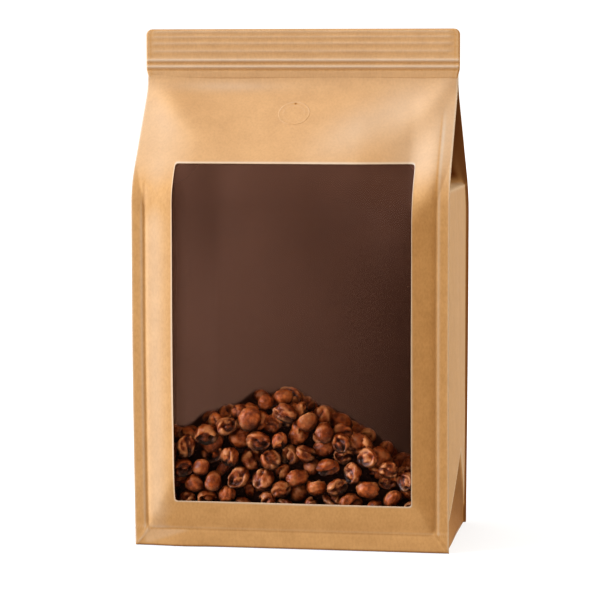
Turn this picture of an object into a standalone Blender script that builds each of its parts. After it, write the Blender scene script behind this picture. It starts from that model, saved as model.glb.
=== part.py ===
"""Flat-bottomed kraft coffee bag with a pressed top, a clear window and a heap of roasted beans inside.

Metres, +Z up, the front facing -Y, the origin in the middle of the base. The bag is a paper shell lofted from
level sections: a flat base, four upright seal fins, pillowed front and back panels, gusseted sides that tuck in
like a gable under the pressed header, and a ribbed header. A film pane lies behind the window, the heap of beans
stands on the floor of the bag behind it, and a degassing valve sits in a shallow seat above the window.
"""

import math

import bmesh
import bpy
from mathutils import Matrix, Vector, noise

# The bag
WIDTH = 0.1346  # fin edge to fin edge
BASE_DEPTH = 0.0785  # front fins to rear fins, at the base
HEIGHT = 0.220
WALL = 0.0012  # paper laminate, drawn stiff
FLOOR = 0.0015
BELLY = 0.0047  # how far the fins lean outwards at mid-height
BELLY_HEIGHT = 0.110
FIN_WIDTH = 0.0058  # upright seal fins at the four corners
FIN_THICKNESS = 0.0008
FIN_STANDOFF = 0.0012  # the side panel starts this far inside the fin's edge
BASE_SEAL_HEIGHT = 0.0075  # crease above the base edge
PILLOW = 0.0035  # how far the panels swell past the fins
PILLOW_EDGE = 0.013  # width of the slope from fin or base seal to panel
GABLE_EDGE = 0.028  # the same beside and below the header
PILLOW_ROUND = 1.5  # the slope is steeper at its foot than a flat bevel
CROWN = 0.0008  # the panels' slight dome

# The pressed header and the gable under it
HEADER_WIDTH = 0.136
HEADER_BOTTOM = 0.1995
HEADER_Y = -0.009
HEADER_THICKNESS = 0.0018
HEADER_CORNER = 0.0025
SEAL_RIB_HEIGHT = 0.0003
ZIP_RIB_HEIGHT = 0.0006
RIB_PITCH = 0.0029
ZIP_RIB_Z = (0.2050, 0.2079)
SEAL_RIB_Z = (0.2112, 0.2141, 0.2170)
FRONT_SHOULDER = 0.146
REAR_SHOULDER = 0.138
SHOULDER_ROUND = 0.30  # shares of the flare that are rounded at its foot and at its head
NECK_ROUND = 0.12
TUCK_FOOT = 0.152  # where the side gusset starts to fold in
TUCK_DEPTH = 0.036  # how deep it is just under the header
TUCK_STEEP = 0.5  # under 1, it folds in sharply at its foot
TUCK_MOUTH = 0.25  # share of the side that the tuck's slanting wings take

# The lower corners of the sides
FACET_HEIGHT = 0.0385
SIDE_SWELL = 0.0022
FACET_DENT = 0.0060

# The window, its film and the valve
WINDOW_WIDTH = 0.1008
WINDOW_BOTTOM = 0.0203
WINDOW_TOP = 0.1634
WINDOW_OFF_CENTRE = 0.0015
WINDOW_CORNER = 0.0018
FILM_LAP = 0.0020
FILM_THICKNESS = 0.0004
VALVE_Z = 0.1843
VALVE_RADIUS = 0.0070
VALVE_THICKNESS = 0.0006
VALVE_PROUD = 0.00025
VALVE_RING = 0.0008
GAP = 0.0003  # between pieces that touch

# The heap of beans
HEAP_PEAK = 0.0660
HEAP_PEAK_PLACE = -0.08  # share of half the width, towards the left
HEAP_FOOT = 0.0380  # height of its surface at the sides of the bag
HEAP_DROP = 0.0120  # its surface falls this much towards the film and the back
HEAP_CREST_BACK = 0.024  # from the film to the crest
BEAN_PITCH = 0.0092
BEAN_RELIEF = 0.0022

# Mesh density
SLOPE_STATIONS = 6
MIDDLE_STATIONS = 9
SIDE_STATIONS = 9
HEAP_STEPS = (26, 17, 9)  # side to side, front to back, and up


def clamp(value):
    return min(max(value, 0.0), 1.0)


def ease(value):
    """0 to 1 with a level start and end."""
    t = clamp(value)
    return t * t * (3 - 2 * t)


def blend(a, b, share):
    return a + (b - a) * share


def spread(first, last, count):
    """Evenly spaced values, both ends included."""
    return [blend(first, last, i / (count - 1)) for i in range(count)]


def flare(t):
    """A straight ramp from 0 to 1, rounded by a parabola at its foot and at its head."""
    slope = 1 / (1 - (SHOULDER_ROUND + NECK_ROUND) / 2)
    t = clamp(t)
    if t < SHOULDER_ROUND:
        return slope * t * t / (2 * SHOULDER_ROUND)
    if t > 1 - NECK_ROUND:
        return 1 - slope * (1 - t) ** 2 / (2 * NECK_ROUND)
    return slope * (t - SHOULDER_ROUND / 2)


# ---- The surface of the bag, as functions of height and of the place across or along it ----


def half_header(z):
    """Half the header's thickness, with its ribs."""
    ribs = 0.0
    for heights, rise in ((ZIP_RIB_Z, ZIP_RIB_HEIGHT), (SEAL_RIB_Z, SEAL_RIB_HEIGHT)):
        for rib in heights:
            ribs += rise * max(0.0, math.cos(math.pi * min(1.0, abs(z - rib) / (RIB_PITCH / 2)) / 2))
    return HEADER_THICKNESS / 2 + ribs


def fin_y(z, way):
    """The plane of the front (way -1) or rear (way 1) fins at a height."""
    belly = BASE_DEPTH / 2 + BELLY * math.sin(math.pi / 2 * clamp(z / BELLY_HEIGHT))
    shoulder = FRONT_SHOULDER if way < 0 else REAR_SHOULDER
    share = flare((z - shoulder) / (HEADER_BOTTOM - shoulder))
    header = HEADER_Y + way * half_header(max(z, HEADER_BOTTOM))
    return blend(way * belly, header, share)


def edge_x(z):
    """Half the width, fin edge to fin edge; the header's top corners are rounded."""
    if z < HEADER_BOTTOM:
        return WIDTH / 2
    rise = max(0.0, z - (HEIGHT - HEADER_CORNER))
    return HEADER_WIDTH / 2 - HEADER_CORNER + math.sqrt(max(0.0, HEADER_CORNER**2 - rise**2))


def pillow(x, z):
    """How far a panel stands out from the plane of its fins: a bevel on all four sides, with mitred corners."""
    beside = blend(PILLOW_EDGE, GABLE_EDGE, ease((z - FRONT_SHOULDER) / GABLE_EDGE))
    share = min(
        (WIDTH / 2 - FIN_WIDTH - abs(x)) / beside,
        (z - BASE_SEAL_HEIGHT) / PILLOW_EDGE,
        (HEADER_BOTTOM - z) / GABLE_EDGE,
    )
    dome = math.cos(math.pi * x / WIDTH) * math.sin(math.pi * clamp(z / HEADER_BOTTOM))
    return PILLOW * (1 - (1 - clamp(share)) ** PILLOW_ROUND) + CROWN * dome * clamp(share)


def panel_y(x, z, way):
    return fin_y(z, way) + way * pillow(x, z)


def across_panel(half):
    """Places across a panel: close together on the slopes at its two sides, wide apart between them."""
    knee = min(WIDTH / 2 - FIN_WIDTH - PILLOW_EDGE, 0.8 * half)
    slope = spread(knee, half, SLOPE_STATIONS)
    middle = spread(-knee, knee, MIDDLE_STATIONS)[1:-1]
    return [*[-x for x in reversed(slope)], *middle, *slope]


def tuck(w, z):
    """How far the side folds in under the header; w runs from -1 at the front edge to 1 at the rear."""
    if z >= HEADER_BOTTOM:
        return 0.0
    share = clamp((z - TUCK_FOOT) / (HEADER_BOTTOM - TUCK_FOOT)) ** TUCK_STEEP
    return TUCK_DEPTH * share * clamp((1 - abs(w)) / TUCK_MOUTH)


def swell(w, z):
    """How far the side stands out, less the dent in the triangle that rises from the base edge."""
    full = SIDE_SWELL * (1 - w * w)
    crease = FACET_HEIGHT * (1 - abs(w))
    if z < crease:
        up = z / crease
        return full * up - FACET_DENT * (1 - abs(w)) * math.sin(math.pi * up)
    return full * (1 - ease((z - FACET_HEIGHT) / (HEADER_BOTTOM - FACET_HEIGHT)))


def along_side():
    """Places along a side: the tuck's two slanting wings, and the part between them."""
    wing = spread(1 - TUCK_MOUTH, 1, 3)
    middle = spread(TUCK_MOUTH - 1, 1 - TUCK_MOUTH, SIDE_STATIONS)[1:-1]
    return [*[-w for w in reversed(wing)], *middle, *wing]


def side_x(w, z):
    if z >= HEADER_BOTTOM:
        return edge_x(z)
    return edge_x(z) - FIN_STANDOFF + swell(w, z) - tuck(w, z)


def bag_section(z):
    """One level ring of the bag's outside, anticlockwise from the front left fin."""
    edge = edge_x(z)
    front, rear = fin_y(z, -1), fin_y(z, 1)
    lip = min(FIN_THICKNESS, (rear - front) / 4)
    across = [-edge, *across_panel(edge - FIN_WIDTH), edge]
    ring = [(x, panel_y(x, z, -1)) for x in across]
    side = [(edge, front + lip)]
    for w in along_side():
        side.append((side_x(w, z), blend(front + lip, rear - lip, (w + 1) / 2)))
    side.append((edge, rear - lip))
    ring += side
    ring += [(x, panel_y(x, z, 1)) for x in reversed(across)]
    ring += [(-x, y) for x, y in reversed(side)]
    return [Vector((x, y, z)) for x, y in ring]


def bag_levels():
    """Heights of the sections: close together where the form turns quickly."""
    low = [0.0, BASE_SEAL_HEIGHT / 2, BASE_SEAL_HEIGHT]
    facet = spread(BASE_SEAL_HEIGHT, FACET_HEIGHT, 7)[1:]
    wall = spread(FACET_HEIGHT, REAR_SHOULDER, 6)[1:]
    rise = HEADER_BOTTOM - WALL - TUCK_FOOT
    gable = [FRONT_SHOULDER, *(TUCK_FOOT + rise * share**2 for share in spread(0.0, 1.0, 10))]
    ribs = []
    for rib in (*ZIP_RIB_Z, *SEAL_RIB_Z):
        ribs += [rib + RIB_PITCH / 2 * share for share in (-1.0, -0.4, 0.4)]
    top = spread(HEIGHT - HEADER_CORNER + RIB_PITCH / 4, HEIGHT - GAP, 3)
    return [*low, *facet, *wall, *gable, HEADER_BOTTOM, *ribs, *top, HEIGHT]


def inner_side_x(w, z):
    """The inside of the side, a wall's thickness clear of its folds both ways and upwards."""
    clear = 2 * WALL / (fin_y(z, 1) - fin_y(z, -1))
    near = [max(-1.0, min(1.0, w + step)) for step in (-clear, 0, clear)]
    return min(side_x(place, z + lift) for place in near for lift in (0, 1.5 * WALL)) - WALL


def cavity_section(z):
    """One ring of the bag's inside, a wall's thickness clear of the panels, fins and tucks."""
    half = inner_side_x(-1, z)
    across = across_panel(half)
    ring = [(x, panel_y(x, z, -1) + WALL) for x in across]
    front, rear = (panel_y(half, z, way) - way * WALL for way in (-1, 1))
    edge = [(inner_side_x(w, z), blend(front, rear, (w + 1) / 2)) for w in along_side()[1:-1]]
    ring += edge
    ring += [(x, panel_y(x, z, 1) - WALL) for x in reversed(across)]
    ring += [(-x, y) for x, y in reversed(edge)]
    return [Vector((x, y, z)) for x, y in ring]


def cavity_levels():
    top = VALVE_Z - VALVE_RADIUS
    return [FLOOR, *[z for z in bag_levels() if FLOOR < z < top]]


# ---- Making objects ----


def new_object(name, mesh, collection):
    obj = bpy.data.objects.new(name, mesh)
    collection.objects.link(obj)
    return obj


def loft(name, rings, collection):
    """A closed body through rings of equal length, with a flat cap at each end."""
    count = len(rings[0])
    points = [point for ring in rings for point in ring]
    faces = [list(reversed(range(count)))]
    for level in range(len(rings) - 1):
        low, high = level * count, (level + 1) * count
        for i in range(count):
            j = (i + 1) % count
            faces.append((low + i, low + j, high + j, high + i))
    faces.append([len(points) - count + i for i in range(count)])
    mesh = bpy.data.meshes.new(name)
    mesh.from_pydata(points, [], faces)
    bm = bmesh.new()
    bm.from_mesh(mesh)
    bmesh.ops.recalc_face_normals(bm, faces=bm.faces)
    bm.to_mesh(mesh)
    bm.free()
    return new_object(name, mesh, collection)


def paint(obj, name, colour, roughness, alpha=1.0):
    material = bpy.data.materials.new(name)
    material.use_nodes = True
    shader = material.node_tree.nodes["Principled BSDF"]
    shader.inputs["Base Color"].default_value = (*colour, 1.0)
    shader.inputs["Roughness"].default_value = roughness
    shader.inputs["Metallic"].default_value = 0.0
    shader.inputs["Alpha"].default_value = alpha
    obj.data.materials.append(material)


def cut(obj, cutter):
    """Takes the cutter's shape out of the object; the cutter itself is only a helper."""
    cutter.hide_render = True
    cutter.display_type = "WIRE"
    modifier = obj.modifiers.new(cutter.name, "BOOLEAN")
    modifier.operation = "DIFFERENCE"
    modifier.object = cutter


def window_cutter(collection):
    """A block with rounded corners that passes through the front panel only."""
    bpy.ops.mesh.primitive_cube_add(size=1)
    block = bpy.context.object
    block.name = "window_cutter"
    for owner in block.users_collection:
        owner.objects.unlink(block)
    collection.objects.link(block)
    outermost = -(BASE_DEPTH / 2 + BELLY + PILLOW + CROWN + WALL)
    innermost = fin_y(WINDOW_TOP, -1) + 3 * WALL
    block.scale = (WINDOW_WIDTH, innermost - outermost, WINDOW_TOP - WINDOW_BOTTOM)
    block.location = (WINDOW_OFF_CENTRE, (innermost + outermost) / 2, (WINDOW_TOP + WINDOW_BOTTOM) / 2)
    block.data.transform(Matrix.Diagonal((*block.scale, 1)))
    block.scale = (1, 1, 1)
    bm = bmesh.new()
    bm.from_mesh(block.data)
    along = [e for e in bm.edges if abs((e.verts[0].co - e.verts[1].co).normalized().y) > 0.5]
    bmesh.ops.bevel(bm, geom=along, offset=WINDOW_CORNER, segments=4, profile=0.5, affect="EDGES")
    bm.to_mesh(block.data)
    bm.free()
    return block


def valve_frame():
    """A matrix that stands the valve's axis on the slanting panel, pointing outwards."""
    reach = VALVE_RADIUS / 2
    low, high = (Vector((0, panel_y(0, z, -1), z)) for z in (VALVE_Z - reach, VALVE_Z + reach))
    up = (high - low).normalized()
    out = Vector((1, 0, 0)).cross(up)
    turn = Matrix(((1, 0, 0), up, out)).transposed().to_4x4()
    return Matrix.Translation((low + high) / 2) @ turn


def valve_seat_cutter(collection):
    mesh = bpy.data.meshes.new("valve_seat_cutter")
    bm = bmesh.new()
    depth = VALVE_THICKNESS - VALVE_PROUD + GAP
    radius = VALVE_RADIUS + GAP
    bmesh.ops.create_cone(
        bm, cap_ends=True, segments=32, radius1=radius, radius2=radius, depth=depth + VALVE_THICKNESS
    )
    bmesh.ops.translate(bm, verts=bm.verts, vec=(0, 0, (VALVE_THICKNESS - depth) / 2))
    bm.to_mesh(mesh)
    bm.free()
    cutter = new_object("valve_seat_cutter", mesh, collection)
    cutter.matrix_world = valve_frame()
    return cutter


def make_bag(parts, helpers):
    bag = loft("bag", [bag_section(z) for z in bag_levels()], parts)
    cut(bag, loft("cavity_cutter", [cavity_section(z) for z in cavity_levels()], helpers))
    cut(bag, window_cutter(helpers))
    cut(bag, valve_seat_cutter(helpers))
    paint(bag, "kraft_paper", (0.62, 0.36, 0.16), 0.7)
    return bag


def make_film(parts):
    """A pane behind the window that follows the inside of the front panel."""
    half = WINDOW_WIDTH / 2 + FILM_LAP
    across = [WINDOW_OFF_CENTRE + x for x in across_panel(half)]
    bottom, top = WINDOW_BOTTOM - FILM_LAP, WINDOW_TOP + FILM_LAP
    levels = [bottom, *[z for z in bag_levels() if bottom < z < top], top]
    inside = WALL + GAP
    points = [(x, panel_y(x, z, -1) + inside, z) for z in levels for x in across]
    count = len(across)
    faces = []
    for row in range(len(levels) - 1):
        for i in range(row * count, row * count + count - 1):
            faces.append((i, i + 1, i + count + 1, i + count))
    mesh = bpy.data.meshes.new("window_film")
    mesh.from_pydata(points, [], faces)
    film = new_object("window_film", mesh, parts)
    skin = film.modifiers.new("film thickness", "SOLIDIFY")
    skin.thickness = FILM_THICKNESS
    skin.offset = -1.0
    paint(film, "clear_film", (0.35, 0.22, 0.16), 0.15, alpha=0.3)
    return film


def make_valve(parts):
    """A turned disc with a raised ring near its rim."""
    rim, top = VALVE_RADIUS, VALVE_PROUD
    base = VALVE_PROUD - VALVE_THICKNESS
    crown = top - VALVE_RING / 4
    ring = rim - VALVE_RING
    profile = [(0, crown), (ring - VALVE_RING, crown), (ring, top), (rim, crown), (rim, base), (0, base)]
    mesh = bpy.data.meshes.new("degassing_valve")
    edges = [(i, i + 1) for i in range(len(profile) - 1)]
    mesh.from_pydata([(r, 0, z) for r, z in profile], edges, [])
    valve = new_object("degassing_valve", mesh, parts)
    valve.matrix_world = valve_frame()
    turn = valve.modifiers.new("turn", "SCREW")
    turn.steps = turn.render_steps = 32
    turn.use_merge_vertices = True
    turn.merge_threshold = 0.00005
    paint(valve, "valve_paper", (0.62, 0.36, 0.16), 0.65)
    return valve


# ---- The heap of beans ----


def place_in_bag(u, v, z):
    """A place inside the bag; u and v run from -1 to 1, side to side and from the film to the back."""
    x = u * (min(inner_side_x(w, z) for w in along_side()) - 2 * GAP)
    front = panel_y(x, z, -1) + WALL + FILM_THICKNESS + 3 * GAP
    rear = panel_y(x, z, 1) - WALL - 2 * GAP
    return Vector((x, blend(front, rear, (v + 1) / 2), z))


def heap_top(u, v):
    """The heap's surface: highest along its crest, lower to the sides, to the film and to the back."""
    place = place_in_bag(u, v, HEAP_FOOT)
    behind_film = (place - place_in_bag(u, -1, HEAP_FOOT)).y
    before_back = (place_in_bag(u, 1, HEAP_FOOT) - place).y
    to_front = clamp(1 - behind_film / HEAP_CREST_BACK) ** 1.5
    to_back = clamp(1 - before_back / HEAP_CREST_BACK) ** 1.5
    from_peak = abs(u - HEAP_PEAK_PLACE) / (1 + abs(HEAP_PEAK_PLACE))
    return blend(HEAP_PEAK, HEAP_FOOT, from_peak**1.1) - HEAP_DROP * max(to_front, to_back)


def bean_bumps(point):
    """Rounded bumps a bean apart, from 0 in the hollows to 1 on the crowns."""
    distances, _ = noise.voronoi(point / BEAN_PITCH)
    return clamp(1 - (distances[0] / 0.75) ** 2)


def heap_point(corner):
    """Moves a point of a cube, from -1 to 1 each way, onto the floor, the walls or the heap's surface."""
    u, v, w = corner
    up = (w + 1) / 2
    flat = place_in_bag(u, v, blend(FLOOR + GAP, heap_top(u, v), up))
    sunk = BEAN_RELIEF * (1 - bean_bumps(flat)) * (up > 0)
    shrink = 1 - sunk / (BASE_DEPTH / 2)
    return place_in_bag(u * shrink, v * shrink, flat.z - sunk * up)


def make_heap(parts):
    """A cube, divided about half a bean apart, with its points moved to the shape of the heap."""
    mesh = bpy.data.meshes.new("bean_heap")
    bm = bmesh.new()
    bmesh.ops.create_cube(bm, size=2.0)
    for axis, steps in enumerate(HEAP_STEPS):
        along = [e for e in bm.edges if abs((e.verts[0].co - e.verts[1].co)[axis]) > 1.9]
        bmesh.ops.subdivide_edges(bm, edges=along, cuts=steps - 1, use_grid_fill=True)
    for vert in bm.verts:
        vert.co = heap_point(vert.co)
    bm.to_mesh(mesh)
    bm.free()
    heap = new_object("bean_heap", mesh, parts)
    paint(heap, "roasted_beans", (0.26, 0.085, 0.035), 0.45)
    return heap


def main():
    for obj in list(bpy.data.objects):
        bpy.data.objects.remove(obj, do_unlink=True)
    parts = bpy.data.collections.new("coffee_bag")
    helpers = bpy.data.collections.new("cutters")
    for collection in (parts, helpers):
        bpy.context.scene.collection.children.link(collection)
    make_bag(parts, helpers)
    make_film(parts)
    make_valve(parts)
    make_heap(parts)


main()
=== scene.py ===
"""A flat-bottomed kraft coffee bag: welded paper panels, a pressed top, a clear window and roasted beans."""

import bpy
import numpy as np
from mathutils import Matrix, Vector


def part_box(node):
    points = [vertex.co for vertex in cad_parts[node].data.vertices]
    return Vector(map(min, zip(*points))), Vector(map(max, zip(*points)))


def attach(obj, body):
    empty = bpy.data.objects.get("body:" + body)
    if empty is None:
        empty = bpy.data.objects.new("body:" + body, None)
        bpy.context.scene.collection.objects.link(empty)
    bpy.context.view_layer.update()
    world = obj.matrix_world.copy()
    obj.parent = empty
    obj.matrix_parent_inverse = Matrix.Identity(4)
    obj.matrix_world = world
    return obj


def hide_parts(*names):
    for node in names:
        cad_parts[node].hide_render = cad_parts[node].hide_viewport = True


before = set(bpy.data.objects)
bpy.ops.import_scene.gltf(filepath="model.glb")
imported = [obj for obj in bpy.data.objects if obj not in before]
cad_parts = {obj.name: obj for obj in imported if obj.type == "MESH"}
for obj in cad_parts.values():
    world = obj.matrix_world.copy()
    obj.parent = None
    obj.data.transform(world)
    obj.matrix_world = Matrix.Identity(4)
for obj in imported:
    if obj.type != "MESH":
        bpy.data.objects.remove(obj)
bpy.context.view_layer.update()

# ---- Front panel -----------------------------------------------------
# One sheet of laminate, kraft paper outside and a dark barrier film inside. Its borders are welded to the
# gussets as flat upright fins and to the base, and the filled bag swells between them like a shallow tray.
# The window is die-cut, which leaves a pale pressed rim.

_, bag_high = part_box("bag")
film_low, film_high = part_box("window_film")
bag_height = bag_high.z
header_past_fins = 0.0010
fin_edge = bag_high.x - header_past_fins
fin_width = 0.0058
fin_fold = fin_edge - fin_width
half_base = 0.03925
belly = 0.0047
belly_height = bag_height / 2
seal_height = 0.0075
header_height = 0.0205
header_foot = bag_height - header_height
header_lap = 0.0008
header_plane = -0.0090
front_shoulder = 0.146
rear_shoulder = 0.138
shoulder_round = 0.30
neck_round = 0.16
swelling = 0.0042
slope_width = 0.013
foot_slope = 0.024
gable_slope = 0.032
slope_round = 1.30
crown = 0.0008
foot_radius = 0.0009
paper = 0.0004
film_lap = 0.0020
window_left, window_right = film_low.x + film_lap, film_high.x - film_lap
window_foot, window_head = film_low.z + film_lap, film_high.z - film_lap
window_corner = 0.0013


def ease(t):
    """0 to 1 with a level start and end: 3t^2 - 2t^3, held at its ends."""
    t = np.clip(t, 0.0, 1.0)
    return t * t * (3 - 2 * t)


def climb(value, start, over):
    """0 up to the start and 1 past a length of its own, eased between."""
    return ease((value - start) / over)


def fall(value, start, over):
    """1 up to the start and 0 past a length of its own, eased between."""
    return 1 - climb(value, start, over)


def blend(a, b, share):
    """The value that lies a share of the way from a to b."""
    return a + (b - a) * share


def soft_least(*values, softness, reach=6):
    """The least of the values, with the corners between them rounded: a negative logarithm of summed powers.

    Values past the reach are held at it, which keeps the powers finite.
    """
    total = sum(np.exp(-np.clip(value, -reach, reach) / softness) for value in values)
    return -softness * np.log(total)


def bump_at(value, centre, width):
    """A bell curve, 1 at its centre."""
    return np.exp(-(((value - centre) / width) ** 2))


def flare(t):
    """A ramp from 0 to 1: a parabola at its foot, straight, and a parabola at its head."""
    slope = 1 / (1 - (shoulder_round + neck_round) / 2)
    t = np.clip(t, 0.0, 1.0)
    foot = slope * t * t / (2 * shoulder_round)
    head = 1 - slope * (1 - t) ** 2 / (2 * neck_round)
    straight = slope * (t - shoulder_round / 2)
    return np.where(t < shoulder_round, foot, np.where(t > 1 - neck_round, head, straight))


def rumple(a, b, size, seed, cells=64, start=(31.7, 17.3)):
    """Smooth uneven relief from -1 to 1: random heights on a square lattice, joined by eased blends."""
    lattice = np.random.default_rng(seed).uniform(-1, 1, (cells, cells))
    a, b = np.broadcast_arrays(a / size + start[0], b / size + start[1])
    column, row = np.floor(a).astype(int), np.floor(b).astype(int)
    across, up = ease(a - column), ease(b - row)
    row, row_above = row % cells, (row + 1) % cells
    column, column_beside = column % cells, (column + 1) % cells
    near = blend(lattice[row, column], lattice[row, column_beside], across)
    far = blend(lattice[row_above, column], lattice[row_above, column_beside], across)
    return blend(near, far, up)


def fin_plane(z, way, lower=0.0):
    """The plane of the front (-1) or rear (1) fins: a bellied wall, bent over to the header at a shoulder.

    A quarter sine wave makes the belly, and the shoulder may start lower by a given amount.
    """
    wall = half_base + belly * np.sin(np.pi / 2 * np.clip(z / belly_height, 0, 1))
    shoulder = (front_shoulder if way < 0 else rear_shoulder) - lower
    pressed = header_plane + way * 2 * paper
    return blend(way * wall, pressed, flare((z - shoulder) / (header_foot - shoulder)))


fin_fades_below, fin_fades_over = 0.004, 0.028
foot_softness, slope_softness = 0.10, 0.05
soft_foot_height = 0.03


def slope_share(x, z):
    """0 at the fins, foot seal and header, 1 past the slopes, with mitred corners where two slopes meet."""
    beside = blend(slope_width, gable_slope, climb(z, front_shoulder, gable_slope))
    fold = blend(fin_fold, fin_edge, ease((z - front_shoulder + fin_fades_below) / fin_fades_over))
    return soft_least(
        (fold - np.abs(x)) / beside,
        (z - seal_height) / foot_slope,
        (header_foot - z) / gable_slope,
        softness=blend(foot_softness, slope_softness, ease(z / soft_foot_height)),
    )


def slanted(inward, down, angle):
    """Distances along and across a line that falls from a header corner at an angle in radians."""
    along = inward * np.cos(angle) + down * np.sin(angle)
    across = down * np.cos(angle) - inward * np.sin(angle)
    return along, across


strain_rise, strain_fade = 0.018, 0.040
strain_length, strain_widening = 0.06, 0.03


def strain_fold(x, z, side, height, angle, width):
    """A taut fold from a header corner down towards the middle: a widening bell, fading along itself."""
    along, across = slanted(fin_edge - side * x, header_foot - z, angle)
    spread = width * (0.5 + np.clip(along, 0, strain_length) / strain_widening)
    shown = ease(along / strain_rise) * fall(along, strain_rise, strain_fade)
    return height * bump_at(across, 0, spread) * shown


# The taut folds: the side, the height, the angle and the width of each
left_strain = (-1, 0.0022, 0.67, 0.0062)
right_strain = (1, 0.0013, 0.84, 0.0050)
groove_depth, groove_width = 0.00034, 0.0010
groove_starts_over, groove_ends_over = 0.003, 0.016
foot_fold_depth, foot_fold_width, foot_fold_end = 0.00018, 0.0006, 0.002
fin_curl, curl_power = 0.00014, 1.5
mitre_height, mitre_width = 0.0002, 0.0007
pleat_height, pleat_x, pleat_width = 0.0012, -0.047, 0.010
broad_dents, small_dents, fine_dents = (0.00028, 0.031), (0.00006, 0.008), (0.000012, 0.0021)
early_shoulder, early_rise = 0.010, (0.026, 0.026)


def panel_y(x, z, way):
    """A front or rear panel: the fins' plane, plus mitred slopes and a dome, less grooves at the folds.

    A quarter circle rounds the foot, and dents of three sizes lie on the swelling alone. On the right of the
    front the shoulder starts early, where the window has weakened the sheet.
    """
    share = np.clip(slope_share(x, z), 0.0, 1.0)
    dome = crown * np.cos(np.pi * x / (2 * fin_edge)) * np.sin(np.pi * np.clip(z / header_foot, 0, 1))
    raised = swelling * (1 - (1 - share) ** slope_round) + dome * share
    upright = fall(z, front_shoulder, groove_ends_over)
    groove = groove_depth * bump_at(np.abs(x), fin_fold, groove_width) * upright
    groove = groove * climb(z, seal_height, groove_starts_over)
    foot_fold_ends = ease((fin_fold - np.abs(x)) / foot_fold_end)
    foot_fold = foot_fold_depth * bump_at(z, seal_height, foot_fold_width) * foot_fold_ends
    curl = fin_curl * (1 - np.clip((fin_edge - np.abs(x)) / fin_width, 0, 1)) ** curl_power * upright
    past_mitre = fin_edge - np.abs(x) - z * fin_width / seal_height
    mitre = mitre_height * bump_at(past_mitre, 0, mitre_width) * (z < seal_height)
    taut = strain_fold(x, z, *left_strain) + strain_fold(x, z, *right_strain)
    pleat = pleat_height * bump_at(x, pleat_x, pleat_width) * np.clip(1 - z / seal_height, 0, 1)
    folded = foot_radius - np.sqrt(foot_radius**2 - np.clip(foot_radius - z, 0, foot_radius) ** 2)
    broad, small, fine = (
        height * rumple(x, z, size, seed + way)
        for (height, size), seed in ((broad_dents, 3), (small_dents, 7), (fine_dents, 11))
    )
    early = early_shoulder * ease((fin_fold - x) / slope_width) * climb(x, *early_rise)
    pressed = groove + foot_fold + folded + curl
    dents = (broad + small + fine) * ease(share * 2)
    return fin_plane(z, way, early * (way < 0)) + way * (raised + taut + pleat + mitre - pressed + dents)


# Painted light on the front: how much paler a painted highlight is or darker a painted shade, its place, and
# its width or length
band_pale, band_angle, band_width, band_rise, band_fade = 0.20, 0.5, 0.0085, 0.030, (0.045, 0.035)
corner_pale, corner_angle, corner_rise = 0.12, 0.69, 0.010
corner_fade_down, corner_fade_right = (0.012, 0.025), (-0.058, 0.020)
rim_pale, rim_spot = 0.20, (fin_edge - 0.003, 0.006, 0.180, 0.018)
strip_pale, strip_spot = 0.18, (0.052, 0.012, 0.166, 0.014)
left_pale, left_inside, left_fade = 0.18, 0.0045, (0.150, 0.020)
gable_pale, gable_rise = 0.12, (0.150, 0.015)
bend_dark, bend_spot = 0.20, (-0.058, 0.008, 0.150, 0.008)


def spot(x, z, place_x, half_width, place_z, half_height):
    """A soft spot on a sheet: a bell curve each way."""
    return bump_at(x, place_x, half_width) * bump_at(z, place_z, half_height)


def painted_highlight_and_shade_at(x, z):
    """Painted highlights: a band from the header's right corner, a patch below the left one, two spots, the
    gable and the left slope; less a painted shade at the left bend.
    """
    along, across = slanted(fin_edge - x, header_foot - z, band_angle)
    band = bump_at(across, 0, band_width) * ease(along / band_rise) * fall(along, *band_fade)
    _, below = slanted(fin_edge + x, header_foot - z, corner_angle)
    corner = ease(below / corner_rise) * fall(below, *corner_fade_down) * fall(x, *corner_fade_right)
    left_slope = bump_at(x, left_inside - fin_fold, left_inside) * (z > seal_height) * fall(z, *left_fade)
    spots = rim_pale * spot(x, z, *rim_spot) + strip_pale * spot(x, z, *strip_spot)
    slopes = gable_pale * climb(z, *gable_rise) + left_pale * left_slope
    return band_pale * band + corner_pale * corner + spots + slopes - bend_dark * spot(x, z, *bend_spot)


# Lines on the paper, partly rubbed or pressed and mostly painted light: how much paler or darker a line is,
# its place and its width
edge_pale, edge_width = 0.55, 0.0005
fold_pale, fold_inside, fold_width = 0.22, 0.0014, 0.0006
groove_dark, groove_inside, groove_line = 0.20, 0.0003, 0.0004
right_fin_top, fin_top_over = 0.176, 0.012
foot_pale, foot_dark, foot_pale_width, foot_dark_width = 0.12, 0.14, 0.0006, 0.0004
foot_pale_up = 0.0008
pleat_pale, pleat_left, pleat_run, pleat_ends, pleat_edge = 0.15, 0.062, 0.022, 0.064, 0.002
mitre_pale, mitre_offset, mitre_line_width = 0.28, 0.0003, 0.0005
above_dark, above_up, above_width = 0.06, 0.0035, 0.0025
under_dark, under_width = 0.7, 0.0007
neck_pale, neck_spot = 0.14, (-0.032, 0.022, header_foot - 0.004, 0.0022)


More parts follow.
